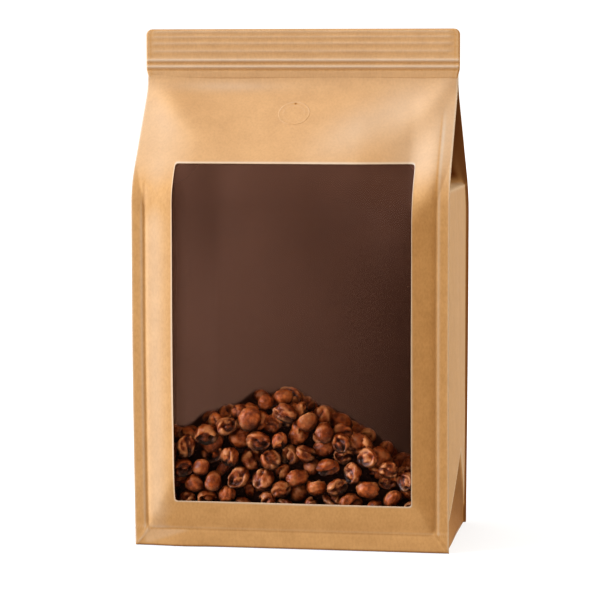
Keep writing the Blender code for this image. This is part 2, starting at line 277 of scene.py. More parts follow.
def wear_at(x, z):
    """Paler or darker paper: rubbed edges and folds that also carry painted highlights, painted light at the
    foot, and the front's painted light.
    """
    fin_top = np.where(x > 0, right_fin_top, front_shoulder)
    upright = (z > seal_height) * fall(z, fin_top, fin_top_over)
    # Paler outer edge: partly rubbed paper, partly a painted highlight on its rounded fold
    edge = edge_pale * bump_at(fin_edge - np.abs(x), 0, edge_width)
    # Paler fold line: partly rubbed, partly a painted highlight; painted shade in the groove beside it
    fold = fold_pale * bump_at(np.abs(x), fin_fold + fold_inside, fold_width) * upright
    groove = groove_dark * bump_at(np.abs(x), fin_fold + groove_inside, groove_line) * upright
    # Painted highlight just above the foot fold, painted shade in its crease
    foot = foot_pale * bump_at(z, seal_height + foot_pale_up, foot_pale_width)
    foot = foot - foot_dark * bump_at(z, seal_height, foot_dark_width)
    # Painted highlight on the pleat at the foot's left
    pleat_foot = seal_height * np.clip((x + pleat_left) / pleat_run, 0, 1)
    pleat = pleat_pale * climb(z, pleat_foot, pleat_edge) * (z < seal_height) * (x < 0)
    pleat = pleat * ease((x + pleat_ends) / pleat_edge)
    # Painted highlight along the mitre at the foot's left corner
    past_mitre = fin_edge + x - z * fin_width / seal_height
    mitre = mitre_pale * bump_at(past_mitre, mitre_offset, mitre_line_width) * (z < seal_height)
    # Painted shade in a band above the foot fold, and a painted contact shadow along the bottom edge
    above_fold = above_dark * bump_at(z, seal_height + above_up, above_width)
    under_foot = under_dark * bump_at(z, 0, under_width)
    lines = edge + fold - groove + foot + pleat + mitre
    # A painted highlight under the neck, and the front's painted highlights and shade
    return lines - above_fold - under_foot + neck_pale * spot(x, z, *neck_spot) + painted_highlight_and_shade_at(x, z)


def grid_faces(rows, columns, closed=False):
    """The corners of a grid's square faces; in a closed grid the last column joins the first."""
    index = np.arange(rows * columns).reshape(rows, columns)
    if closed:
        index = np.concatenate([index, index[:, :1]], axis=1)
    corners = [index[:-1, :-1], index[:-1, 1:], index[1:, 1:], index[1:, :-1]]
    return np.stack(corners, axis=-1).reshape(-1, 4)


def mesh_object(name, points, faces, **attributes):
    """A smooth mesh with its place in its points; each attribute is one number for every point."""
    mesh = bpy.data.meshes.new(name)
    mesh.from_pydata(points.reshape(-1, 3).tolist(), [], faces.tolist())
    for key, values in attributes.items():
        mesh.attributes.new(key, "FLOAT", "POINT").data.foreach_set("value", values.ravel())
    mesh.shade_smooth()
    thing = bpy.data.objects.new(name, mesh)
    bpy.context.scene.collection.objects.link(thing)
    return thing


def sheet_object(name, x, y, z, wear, outward, closed=False):
    """A surface through a grid of points; outward is a direction that its outer face should look along."""
    x, y, z, wear = np.broadcast_arrays(x, y, z, wear)
    sheet = mesh_object(name, np.stack([x, y, z], axis=-1), grid_faces(*x.shape, closed), wear=wear)
    normals = np.empty(len(sheet.data.polygons) * 3)
    sheet.data.polygons.foreach_get("normal", normals)
    if normals.reshape(-1, 3).sum(axis=0) @ np.array(outward) < 0:
        sheet.data.flip_normals()
    return sheet


def thicken(thing, name, thickness):
    """Gives a sheet its thickness inwards."""
    skin = thing.modifiers.new(name, "SOLIDIFY")
    skin.thickness = thickness
    skin.offset = -1.0
    return skin


def laminate(thing, thickness=paper, outside=None):
    """Makes a sheet laminate; its inner face and its cut edge take the second and third materials."""
    skin = thicken(thing, "laminate", thickness)
    skin.material_offset = 1
    skin.material_offset_rim = 2
    for material in (outside or kraft_paper, barrier_film, cut_edge):
        thing.data.materials.append(material)


def new_material(name, colour, roughness, specular):
    """A Principled material and its node tree; the numbers go on the shader's own sockets."""
    material = bpy.data.materials.new(name)
    material.use_nodes = True
    shader = material.node_tree.nodes["Principled BSDF"]
    shader.inputs["Base Color"].default_value = (*colour, 1)
    shader.inputs["Roughness"].default_value = roughness
    shader.inputs["Specular IOR Level"].default_value = specular
    return material, material.node_tree, shader


def noise_node(tree, scale, stretch=(1, 1, 1), detail=3.0):
    """Noise on Object coordinates, in cells per metre, longer along an axis whose stretch is under 1."""
    place = tree.nodes.new("ShaderNodeTexCoord")
    mapping = tree.nodes.new("ShaderNodeMapping")
    mapping.inputs["Scale"].default_value = stretch
    noise = tree.nodes.new("ShaderNodeTexNoise")
    noise.inputs["Scale"].default_value = scale
    noise.inputs["Detail"].default_value = detail
    tree.links.new(place.outputs["Object"], mapping.inputs["Vector"])
    tree.links.new(mapping.outputs["Vector"], noise.inputs["Vector"])
    return noise.outputs["Fac"]


def attribute_node(tree, name):
    """The number that a mesh attribute holds."""
    attribute = tree.nodes.new("ShaderNodeAttribute")
    attribute.attribute_name = name
    return attribute.outputs["Fac"]


def ramp_node(tree, value, *stops):
    """A colour ramp through (place, colour) stops."""
    ramp = tree.nodes.new("ShaderNodeValToRGB")
    elements = ramp.color_ramp.elements
    while len(elements) < len(stops):
        elements.new(0.5)
    for element, (place, colour) in zip(elements, stops):
        element.position = place
        element.color = (*colour, 1)
    tree.links.new(value, ramp.inputs["Fac"])
    return ramp.outputs["Color"]


def feed(tree, socket, value):
    """Links a socket to another one, or sets it to a plain number or colour."""
    if isinstance(value, bpy.types.NodeSocket):
        tree.links.new(value, socket)
    else:
        socket.default_value = value if isinstance(value, float) else (*value, 1)


def mix_node(tree, mode, share, first, second):
    """Two colours mixed; share, first and second are sockets or plain values."""
    mix = tree.nodes.new("ShaderNodeMix")
    mix.data_type = "RGBA"
    mix.blend_type = mode
    for number, value in ((0, share), (6, first), (7, second)):
        feed(tree, mix.inputs[number], value)
    return mix.outputs[2]


def math_node(tree, operation, first, second):
    """A sum on two numbers, each a socket or a plain value."""
    node = tree.nodes.new("ShaderNodeMath")
    node.operation = operation
    feed(tree, node.inputs[0], first)
    feed(tree, node.inputs[1], second)
    return node.outputs[0]


def above_and_below(tree, value):
    """How far a number is above 0, and how far it is below."""
    above = math_node(tree, "MAXIMUM", value, 0.0)
    below = math_node(tree, "MAXIMUM", math_node(tree, "MULTIPLY", value, -1.0), 0.0)
    return above, below


def bump_node(tree, shader, height, strength, distance):
    """Fine relief in the shading."""
    bump = tree.nodes.new("ShaderNodeBump")
    bump.inputs["Strength"].default_value = strength
    bump.inputs["Distance"].default_value = distance
    tree.links.new(height, bump.inputs["Height"])
    tree.links.new(bump.outputs["Normal"], shader.inputs["Normal"])


kraft_colour = (0.410, 0.198, 0.061)
# kraft_pale is mixed in for rubbed paper and painted highlights, kraft_deep mostly for painted shade
kraft_pale = (0.51, 0.40, 0.28)
kraft_deep = (0.125, 0.035, 0.005)
kraft_sheen = (1.0, 0.88, 0.74)
kraft_roughness, roughness_range = 0.62, 0.14
cloud_scale, fibre_scale, grain_scale = 140, 1100, 1500
along_fibre, along_grain = (1.0, 1.0, 0.6), (0.4, 0.4, 1.0)


def make_kraft(name, colour, specular):
    """Unbleached paper: cloudy pulp and fine fibres; paler where the attribute is over 0, from rubbing or
    painted highlights, and deeper under 0, mostly painted shade.
    """
    material, tree, shader = new_material(name, colour, kraft_roughness, specular)
    shader.inputs["Specular Tint"].default_value = (*kraft_sheen, 1)
    clouds = noise_node(tree, cloud_scale, detail=5.0)
    cloud = ramp_node(tree, clouds, (0.30, (0.94, 0.93, 0.91)), (0.70, (1.04, 1.05, 1.06)))
    fibres = noise_node(tree, fibre_scale, along_fibre, 5.0)
    fibre = ramp_node(tree, fibres, (0.32, (0.93, 0.92, 0.90)), (0.62, (1.04, 1.04, 1.05)))
    pulp = mix_node(tree, "MULTIPLY", 1.0, mix_node(tree, "MULTIPLY", 1.0, colour, cloud), fibre)
    pale, deep = above_and_below(tree, attribute_node(tree, "wear"))
    worn_and_lit = mix_node(tree, "MIX", pale, pulp, kraft_pale)
    tree.links.new(mix_node(tree, "MIX", deep, worn_and_lit, kraft_deep), shader.inputs["Base Color"])
    grain = noise_node(tree, grain_scale, along_grain, 4.0)
    rougher = math_node(tree, "MULTIPLY", grain, roughness_range)
    tree.links.new(math_node(tree, "ADD", rougher, kraft_roughness), shader.inputs["Roughness"])
    bump_node(tree, shader, grain, strength=0.35, distance=0.00006)
    return material


def make_clouded(name, roughness, specular, scale, darker, lighter):
    """A plain material whose colour drifts between two; also gives its shader."""
    material, tree, shader = new_material(name, darker, roughness, specular)
    cloud = ramp_node(tree, noise_node(tree, scale), (0.3, darker), (0.7, lighter))
    tree.links.new(cloud, shader.inputs["Base Color"])
    return material, shader


kraft_paper = make_kraft("kraft_paper", kraft_colour, 0.18)
barrier_film, _ = make_clouded("barrier_film", 0.6, 0.1, 60, (0.140, 0.053, 0.026), (0.160, 0.061, 0.030))
cut_edge, _ = make_clouded("cut_edge", 0.8, 0.2, 700, (0.44, 0.28, 0.14), (0.54, 0.36, 0.20))

ring_points, ring_steps, ring_crowding = 672, 62, 1.3
rim_from_window, cut_rim_width, cut_rim_height, cut_rim_pale = 0.0003, 0.00045, 0.00010, 0.5


def window_ring():
    """Places on the front from the window's edge out to the sheet's edge, and how far each is from the hole.

    Both outlines are walked together, corner to corner, and a place is a share of the way between them. The
    window's corners are rounded by drawing its outline back to a circle about each corner's centre.
    """
    walk = np.linspace(0, 4, ring_points, endpoint=False)
    side = walk.astype(int)
    along = 2 * (walk - side) - 1
    across = np.choose(side, [along, np.ones_like(along), -along, -np.ones_like(along)])
    up = np.choose(side, [-np.ones_like(along), along, np.ones_like(along), -along])
    inner_x = blend(window_left, window_right, (across + 1) / 2)
    inner_z = blend(window_foot, window_head, (up + 1) / 2)
    centre_x = np.clip(inner_x, window_left + window_corner, window_right - window_corner)
    centre_z = np.clip(inner_z, window_foot + window_corner, window_head - window_corner)
    reach = np.hypot(inner_x - centre_x, inner_z - centre_z)
    inner_x = centre_x + (inner_x - centre_x) * window_corner / reach
    inner_z = centre_z + (inner_z - centre_z) * window_corner / reach
    share = np.linspace(0, 1, ring_steps)[:, None] ** ring_crowding
    x = blend(inner_x, across * fin_edge, share)
    z = blend(inner_z, blend(0, header_foot + header_lap, (up + 1) / 2), share)
    return x, z, np.hypot(x - inner_x, z - inner_z)


panel_x, panel_z, from_window = window_ring()
cut_rim = bump_at(from_window, rim_from_window, cut_rim_width)
front_panel = sheet_object(
    "front_panel",
    panel_x,
    panel_y(panel_x, panel_z, -1) - cut_rim_height * cut_rim,
    panel_z,
    wear_at(panel_x, panel_z) + cut_rim_pale * cut_rim,
    (0, -1, 0),
    closed=True,
)
laminate(front_panel)
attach(front_panel, "root")
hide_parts("bag")

# ---- Back panel ------------------------------------------------------
# The back is a sheet of the same laminate without a window, welded to the gussets and the base in the same
# way. The air and the beans in the bag push it out as one soft cushion between its fins.

back_columns, back_rows = 110, 190
back_x = np.linspace(-1, 1, back_columns)[None, :] * fin_edge
back_z = np.linspace(0, header_foot + header_lap, back_rows)[:, None]
back_panel = sheet_object(
    "back_panel", back_x, panel_y(back_x, back_z, 1), back_z, wear_at(back_x, back_z), (0, 1, 0)
)
laminate(back_panel)
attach(back_panel, "root")
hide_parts("bag")

# ---- Side gussets ----------------------------------------------------
# Each side is a sheet whose two borders are welded behind the fins. Under the header it folds in sharply at
# the shoulder and closes up between the panels. At its foot two creases rise from the corners, and the paper
# below them is drawn in by the folded base.

gusset_paper = make_kraft("gusset_paper", (0.370, 0.192, 0.068), 0.04)
fin_standoff = 0.0012
side_swell = 0.0022
facet_height = 0.0385
facet_foot = 0.0078
facet_dent = 0.0068
tuck_foot = 0.152
tuck_depth = 0.036
tuck_mouth = 0.25
tuck_softness = 0.08
fin_thickness = 0.0008
centre_fold_depth, centre_fold_width, centre_fold_starts_over = 0.0002, 0.10, 0.02


def facet_crease(inward):
    """The height of the crease over the foot's triangle, which rises straight from corner to middle."""
    return blend(facet_foot, facet_height, inward)


def side_shape(w, z):
    """How far the side sheet stands out from the fins' edge; w is -1 at the front fin and 1 at the rear one.

    It is a shallow bulge, less the dent of the foot's triangle, less the tuck, whose depth grows with the
    square root of the height above the shoulder and whose two wings slant out to the fins.
    """
    inward = 1 - np.abs(w)
    bulge = side_swell * (1 - w * w)
    crease = facet_crease(inward)
    up = np.clip(z / crease, 0, 1)
    facet = bulge * up - facet_dent * inward * np.sin(np.pi * up)
    above = bulge * (1 - ease((z - facet_height) / (header_foot - facet_height)))
    swelled = np.where(z < crease, facet, above)
    rise = np.clip((z - tuck_foot) / (header_foot - tuck_foot), 0, 1)
    wing = soft_least(inward / tuck_mouth, np.ones_like(inward), softness=tuck_softness)
    centre_fold = centre_fold_depth * np.exp(-np.abs(w) / centre_fold_width)
    centre_fold = centre_fold * climb(z, facet_height, centre_fold_starts_over)
    return swelled - tuck_depth * np.sqrt(rise) * np.clip(wing, 0, None) - centre_fold


gusset_columns, gusset_crowding = 96, 1.5
gusset_rows = ((0, 80), (0.045, 36), (0.146, 50), (0.160, 44))
flange_width = 0.0005
gusset_dents, small_gusset_dents = (0.00024, 0.027), (0.00002, 0.009)
# Side colour: a paleness all over as painted sheen, painted highlights on the foot crease and shoulder,
# painted shade on the foot's triangle, in the tuck and beside the rear fin
gusset_wear = 0.20
crease_pale, crease_up, crease_width = 0.40, 0.0006, 0.0008
facet_dark_front, facet_dark_rear = 0.30, 0.80
shoulder_pale, shoulder_width = 0.25, 0.0010
tuck_dark, tuck_edge = 1.2, 0.005
under_fin_width, facet_edge = 0.0014, 0.002
# How steeply the dents and the two shades set in beside the fins, per half width of the side
dents_set_in, facet_sets_in, tuck_sets_in = 6, 12, 10


def levels_up(stretches, top):
    """Levels as a column, evenly spaced in each stretch; a stretch is where it starts and its count."""
    starts, counts = zip(*stretches)
    ends = (*starts[1:], top)
    stretches = zip(starts, ends, counts)
    levels = [np.linspace(low, high, count, endpoint=high == top) for low, high, count in stretches]
    return np.concatenate(levels)[:, None]


def side_sheet(side):
    """The side's shape between the fins' planes, with flanges that run out behind the fins."""
    heights = levels_up(gusset_rows, header_foot + header_lap)
    s = np.linspace(-1, 1, gusset_columns)[None, :]
    w = np.sign(s) * (1 - (1 - np.abs(s)) ** gusset_crowding)
    inward = 1 - np.abs(w)
    front, rear = fin_plane(heights, -1), fin_plane(heights, 1)
    lip = np.minimum(fin_thickness, (rear - front) / 2)
    y = blend(front + lip, rear - lip, (w + 1) / 2)
    behind_fin = np.minimum(y - front - lip, rear - lip - y)
    flange = fin_standoff * bump_at(behind_fin, 0, flange_width)
    broad, small = (
        height * rumple(y, heights, size, seed + side)
        for (height, size), seed in ((gusset_dents, 23), (small_gusset_dents, 29))
    )
    dents = (broad + small) * np.clip(inward * dents_set_in, 0, 1)
    x = fin_edge - fin_standoff + flange + side_shape(w, heights) + dents
    crease = facet_crease(inward)
    # Painted highlight along the foot's crease, painted shade on the triangle below it, darker towards the
    # rear
    on_crease = bump_at(heights - crease, crease_up, crease_width) * (np.abs(w) < 0.99)
    facet_dark = blend(facet_dark_front, facet_dark_rear, (w + 1) / 2)
    facet_dark = facet_dark * ease((crease - heights) / facet_edge) * ease(inward * facet_sets_in)
    # Painted highlight on the shoulder, painted shade deep in the tuck and on the flange beside the rear fin
    on_shoulder = bump_at(heights, tuck_foot, shoulder_width)
    in_tuck = tuck_dark * climb(heights, tuck_foot, tuck_edge) * ease(inward * tuck_sets_in)
    under_fin = bump_at(rear - lip - y, 0, under_fin_width)
    lines = gusset_wear + crease_pale * on_crease + shoulder_pale * on_shoulder
    wear = lines - facet_dark * (1 - on_crease) - in_tuck - under_fin
    return sheet_object(
        "side_gusset_right" if side > 0 else "side_gusset_left", side * x, y, heights, wear, (side, 0, 0)
    )


for side in (-1, 1):
    side_gusset = side_sheet(side)
    laminate(side_gusset, outside=gusset_paper)
    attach(side_gusset, "root")
    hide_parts("bag")

# ---- Base ------------------------------------------------------------
# The base is a flat sheet welded inside the foot of the four walls. It carries the bag, so it stays level,
# with a pressed seam along its edges and the two corner-to-corner folds left from the flat-packed bag.

base_columns, base_rows = 100, 60
base_gap = 0.0002
base_seam, base_seam_step, base_seam_dark, base_seam_line = 0.006, 0.0004, 0.35, 0.0006
base_ridge, base_ridge_width, base_ridge_pale, base_ridge_line = 0.00015, 0.0007, 0.3, 0.0008
base_clearance, base_dent, base_dent_size = 0.00015, 0.0001, 0.020
base_x = np.linspace(-1, 1, base_columns)[None, :] * (fin_edge - fin_standoff - base_gap)
base_y = np.linspace(-1, 1, base_rows)[:, None] * (half_base - fin_thickness - base_gap)
to_edge = np.minimum(fin_edge - fin_standoff - np.abs(base_x), half_base - fin_thickness - np.abs(base_y))
base_fold = np.abs(fin_edge - np.abs(base_x)) - (half_base - np.abs(base_y))
base_relief = base_seam_step * ease(to_edge / base_seam)
base_relief = base_relief + base_ridge * bump_at(base_fold, 0, base_ridge_width)
base_fold_wear = base_ridge_pale * bump_at(base_fold, 0, base_ridge_line)
base_sheet = sheet_object(
    "base_sheet",
    base_x,
    base_y,
    base_clearance + base_relief + base_dent * (1 + rumple(base_x, base_y, base_dent_size, 37)),
    base_fold_wear - base_seam_dark * bump_at(to_edge, base_seam, base_seam_line),
    (0, 0, -1),
)
laminate(base_sheet)
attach(base_sheet, "root")
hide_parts("bag")

# ---- Pressed header --------------------------------------------------
# At the top all the sheets are pressed flat and welded. The jaws leave shallow level ribs between two
# upright end seams. Below them the two stronger ribs of the zip run from end to end, over a plain band.

header_half = 0.0680
header_thickness = 0.0018
header_corner = 0.0026
header_sink = 0.0012
header_columns, header_rows, header_crowding = 240, 130, 1.6
neck_taper = 0.0040
neck_step, neck_step_over = 0.0003, 0.0014
rim_round = 0.0007
end_seam, end_seam_edge = 0.0020, 0.0030
end_seam_dark, end_seam_line = 0.08, 0.0004
rib_pitch = 0.0029
zip_ribs = (0.2039, 0.2067)
zip_height, zip_width = 0.00052, 0.00075
zip_hollow, zip_hollow_width = 0.00025, 0.0005
# zip_pale and seal_pale are painted highlights on the ribs, zip_dark and seal_dark painted shade in their
# hollows
zip_pale, zip_line, zip_dark = 0.36, 0.0006, 0.10
seal_ribs = (0.2106, 0.2139, 0.2167, 0.2189)
seal_rib_height, seal_rib_width = 0.00026, 0.0008
seal_pale, seal_line, seal_dark = 0.12, 0.0005, 0.05
hollow_line = 0.0004
# rim_dark is painted shade on the rounded rims
header_wear, rim_dark = 0.12, 0.7
header_grain, header_grain_size = 0.00003, 0.003
header_wave, header_wave_length = 0.00035, 0.045
patch_size, patch_middle, patch_spread = 0.016, 0.75, 0.35


def lines_at(z, places, width):
    """Level lines: a bell curve at each place."""
    return sum(bump_at(z, place, width) for place in places)


def header_face(way):
    """One face of the header: a plate with rounded rims, plus bell-shaped ribs, less grooves under them."""
    z = np.linspace(header_foot - header_sink, bag_height, header_rows)[:, None]
    rise = np.clip(z - (bag_height - header_corner), 0, header_corner)
    half = header_half - header_corner + np.sqrt(header_corner**2 - rise**2)
    half = half - (header_half - fin_edge) * fall(z, header_foot, neck_taper)
    u = np.linspace(-1, 1, header_columns)[None, :]
    u = np.sign(u) * (1 - (1 - np.abs(u)) ** header_crowding)
    x = u * half
    from_end = half - np.abs(x)
    from_rim = np.minimum(from_end, bag_height - z)
    round_off = np.sqrt(np.clip(1 - (1 - np.clip(from_rim / rim_round, 0, 1)) ** 2, 0, 1))
    between_seams = climb(from_end, end_seam, end_seam_edge)
    zip_hollows = [rib - rib_pitch / 2 for rib in zip_ribs]
    seal_hollows = [rib - rib_pitch / 2 for rib in seal_ribs]
    patchy = patch_middle + patch_spread * rumple(x, z, patch_size, 41 + way)
    relief = sum(zip_height * bump_at(z, rib, zip_width) for rib in zip_ribs)
    relief = relief - zip_hollow * lines_at(z, zip_hollows, zip_hollow_width)
    seal_relief = sum(seal_rib_height * bump_at(z, rib, seal_rib_width) for rib in seal_ribs)
    relief = relief + seal_relief * between_seams * patchy
    relief = relief + header_grain * rumple(x, z, header_grain_size, 47 + way)
    wave = header_wave * rumple(x, z * 0, header_wave_length, 53)
    half_plate = header_thickness / 2
    half_plate = half_plate - neck_step * (1 - ease((z - header_foot + header_sink) / neck_step_over))
    y = header_plane + wave + way * (half_plate + relief) * round_off
    # Painted highlights on the ribs' crests
    ridge = lines_at(z, zip_ribs, zip_line) * zip_pale
    ridge = ridge + lines_at(z, seal_ribs, seal_line) * seal_pale * between_seams
    # Painted shade in the hollows under the ribs
    hollow = lines_at(z, zip_hollows, hollow_line) * zip_dark
    hollow = hollow + lines_at(z, seal_hollows, hollow_line) * seal_dark
    seam = end_seam_dark * bump_at(from_end, end_seam, end_seam_line)
    # Painted shade darkens the rounded rims
    return x, y, z, header_wear + ridge - hollow - seam - rim_dark * (1 - round_off)


def merge_points(thing, name, distance):
    """Merges points that lie together, which closes seams and poles."""
    merge = thing.modifiers.new(name, "WELD")
    merge.merge_threshold = distance


def weld(things, name):
    """Joins objects into one and merges the points they share."""
    with bpy.context.temp_override(
        active_object=things[0], object=things[0], selected_editable_objects=things, selected_objects=things
    ):
        bpy.ops.object.join()
    joined = things[0]
    joined.name = joined.data.name = name
    merge_points(joined, "weld", 0.00001)
    return joined


header = weld(
    [sheet_object(f"header_face_{way}", *header_face(way), (0, way, 0)) for way in (-1, 1)], "pressed_header"
)
header.data.materials.append(kraft_paper)
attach(header, "root")
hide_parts("bag")

# ---- Degassing valve -------------------------------------------------
# A one-way valve is welded behind the front under the header. Outside only its print in the paper shows: a
# thin round ridge, a flatter disc inside it and a pinhole near the top.

valve_low, valve_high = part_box("degassing_valve")
valve_centre_x = -0.0013
valve_centre_z = (valve_low.z + valve_high.z) / 2
valve_radius = (valve_high.x - valve_low.x) / 2
valve_rings, valve_steps, valve_crowding = 44, 120, 0.8
valve_paper = 0.0003
outer_ring, inner_ring, ring_width, ring_line = valve_radius * 0.93, 0.0046, 0.0004, 0.0003
disc_lift, outer_lift, inner_lift = 0.00004, 0.00006, 0.00004
outer_pale, inner_pale = 0.11, 0.06
sunk_edge, sunk_depth = 0.0003, 0.0002
pinhole_up, pinhole_width, pinhole_dark = 0.0056, 0.00045, 1.2
highlight_ripple, highlight_ripples = 0.3, 5
tilt_reach = 0.001


def valve_disc():
    """A disc on polar rings, laid on the front panel, with ring ridges as bell curves of the radius.

    The disc leans as the panel does at its centre. Its border dips under the paper. A sum of sine waves of
    the angle spreads a painted highlight on its ridges, brightest at the top as if lit from above, and
    patchy.
    """
    r = (np.linspace(0, 1, valve_rings) ** valve_crowding)[:, None] * valve_radius
    turn = np.linspace(0, 2 * np.pi, valve_steps, endpoint=False)[None, :]
    x, up = r * np.cos(turn), r * np.sin(turn)
    tilt = panel_y(0.0, valve_centre_z + tilt_reach, -1) - panel_y(0.0, valve_centre_z - tilt_reach, -1)
    z = valve_centre_z + up / np.hypot(1, tilt / (2 * tilt_reach))
    lift = disc_lift + outer_lift * bump_at(r, outer_ring, ring_width)
    lift = lift + inner_lift * bump_at(r, inner_ring, ring_width)
    hole = bump_at(np.hypot(x, up - pinhole_up), 0, pinhole_width)
    fade = ease((valve_radius - r) / sunk_edge)
    x = x + valve_centre_x
    y = panel_y(x, z, -1) - lift * fade + sunk_depth * (1 - fade)
    # Painted highlight on the ridges, brightest at the top and patchy round the ring
    ring_highlight_share = 0.5 + 0.5 * np.sin(turn) + highlight_ripple * np.sin(highlight_ripples * turn)
    ridges = outer_pale * bump_at(r, outer_ring, ring_line) + inner_pale * bump_at(r, inner_ring, ring_line)
    # Painted shade fills the pinhole
    return x, y, z, wear_at(x, z) + ring_highlight_share * ridges - pinhole_dark * hole


valve = sheet_object("degassing_valve_print", *valve_disc(), (0, -1, 0), closed=True)
laminate(valve, valve_paper)
merge_points(valve, "close centre", 0.00001)
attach(valve, "root")
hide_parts("degassing_valve")

# ---- Beans -----------------------------------------------------------
# The roasted beans lie in a heap behind the film, with one crest across the bag. Loose beans make its skin,
# against the film and over the top; a core painted near black as shade stands for those that can't be seen.

heap_low, heap_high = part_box("bean_heap")
heap_half = heap_high.x
heap_peak = 0.0700
heap_peak_x = -0.0067
heap_left_foot, heap_right_foot = 0.0430, 0.0290
heap_curve = 1.22
heap_drop, heap_drop_curve = 0.0080, 1.5
heap_crest_back = 0.014
heap_fall = 0.24
film_room, back_room, gusset_room = 0.0012, 0.0004, 0.0010
wall_level = 0.03
gusset_place = 0.04
bean_above = 0.004


def heap_walls(x, z):
    """The film's and the back panel's inner faces at a place."""
    front = panel_y(x, z, -1) + paper + film_room
    rear = panel_y(x, z, 1) - paper - back_room
    return front, rear


def side_wall(y, z):
    """How far the side gussets' inner face is from the middle: the least over a bean's height."""
    front, rear = heap_walls(gusset_place, z)
    w = np.clip(2 * (y - front) / (rear - front) - 1, -1, 1)
    inner = np.minimum(side_shape(w, z), side_shape(w, z + bean_above))
    return fin_edge - fin_standoff - paper - gusset_room + inner


def heap_top(x, y):
    """The heap's surface: a power of the distance from its peak, lower near the film and past its crest."""
    front, _ = heap_walls(x, np.full_like(x, wall_level))
    to_left = x < heap_peak_x
    aside = (x - heap_peak_x) / np.where(to_left, -heap_half - heap_peak_x, heap_half - heap_peak_x)
    foot = np.where(to_left, heap_left_foot, heap_right_foot)
    crest = blend(heap_peak, foot, np.clip(aside, 0, 1) ** heap_curve)
    to_front = np.clip(1 - (y - front) / heap_crest_back, 0, 1) ** heap_drop_curve
    behind = np.clip(y - front - heap_crest_back, 0, None)
    return crest - heap_drop * to_front - heap_fall * behind


bean_half_length, bean_half_shares = 0.0046, (1.0, 0.87, 0.78)
length_spread, least_length, most_length, share_spread = 0.11, 0.80, 1.25, 0.06
facing_spread, facing_film, flat_side_share = 0.6, 1.3, 0.75
irrational_steps = (0.819173, 0.549700, 0.671044)
spread_middle, spread_half, spread_front = (0, 0, 0.036), (heap_half, 0.040, 0.034), -0.030
film_skin, top_skin = 0.0084, 0.0065
lean_to_film = 0.0001
sunk_share = 0.9
bean_room, push_share = 1.12, 0.45


def reach_of(half_size, turn):
    """How far turned ellipsoids reach from their centres along x, y and z."""
    return np.sqrt(np.einsum("nij,nj->ni", turn**2, half_size**2))


def settle_beans(count, rounds, seed, by_film):
    """Places, half sizes and turns for beans in one skin of the heap: against the film, or over the top.

    Beans start evenly spread, at multiples of three irrational steps. Each round pushes every two that are
    too near apart, leans them towards the film, and draws back those that left the skin. Most lie with their
    flat or their round side more or less towards the film.
    """
    rng = np.random.default_rng(seed)
    half_length = rng.normal(1.0, length_spread, count).clip(least_length, most_length) * bean_half_length
    half_size = half_length[:, None] * np.array(bean_half_shares) * rng.normal(1, share_spread, (count, 3))
    facing = rng.normal(size=(count, 3)) * facing_spread
    facing = facing + np.where(rng.random(count) < flat_side_share, -1, 1)[:, None] * [0, facing_film, 0]
    long_way = np.cross(facing, rng.normal(size=(count, 3)))
    facing, long_way = (way / np.linalg.norm(way, axis=1, keepdims=True) for way in (facing, long_way))
    turn = np.stack([long_way, np.cross(-facing, long_way), -facing], axis=2)
    reach = reach_of(half_size, turn)
    radius = half_size.mean(axis=1)
    spread = (np.arange(4 * count)[:, None] * irrational_steps + rng.random(3)) % 1.0
    spread = (spread * 2 - 1) * spread_half + spread_middle
    spread = spread[spread[:, 2] < heap_top(spread[:, 0], spread_front + 0 * spread[:, 0])]
    x, y, z = spread[:count].T
    for _ in range(rounds):
        wall = side_wall(y, z)
        x = np.clip(x, -wall + reach[:, 0], wall - reach[:, 0])
        front, rear = heap_walls(x, z)
        low = front + reach[:, 1] if by_film else front + film_skin
        high = front + film_skin if by_film else rear - reach[:, 1]
        y = np.clip(y - lean_to_film, low, high)
        top = heap_top(x, y) - sunk_share * reach[:, 2]
        z = np.clip(z, heap_low.z + reach[:, 2] if by_film else top - top_skin, top)
        place = np.stack([x, y, z], axis=1)
        gap = place[:, None, :] - place[None, :, :]
        distance = np.linalg.norm(gap, axis=2) + np.eye(count)
        apart = bean_room * (radius[:, None] + radius[None, :])
        short = np.clip(apart - distance, 0, None) * (1 - np.eye(count))
        push = push_share * (gap / distance[..., None] * short[..., None]).sum(axis=1)
        x, y, z = x + push[:, 0], y + push[:, 1], z + push[:, 2]
    return place, half_size, turn


bow_range, lip_range, crease_depths, crease_widths = (-0.30, 0.30), (0.08, 0.26), (0.20, 0.60), (0.09, 0.18)
dish_range, dish_off_x, dish_off_y = (0.02, 0.36), (-0.25, 0.25), (-0.2, 0.2)
lip_out, lip_width = 0.34, 0.18
rim_out, rim_breadth, moat_out, moat_breadth = 0.80, 0.20, 0.50, 0.17
flattening, rim_share = 0.66, 0.5
under_sets_in, rim_sets_in = 2.5, 4
# Painted shade in the crease, the hollow and the wrinkle dips; painted highlights on the lips, the rim and
# the crests
crease_dark, moat_dark, dip_dark = 0.9, 2.2, 6
lips_light, rim_light, wrinkle_light, most_wrinkle_light = 0.5, 2.0, 5, 0.6
wrinkles = ((2.4, 0.050), (5.0, 0.034), (10.0, 0.026), (17.0, 0.014))


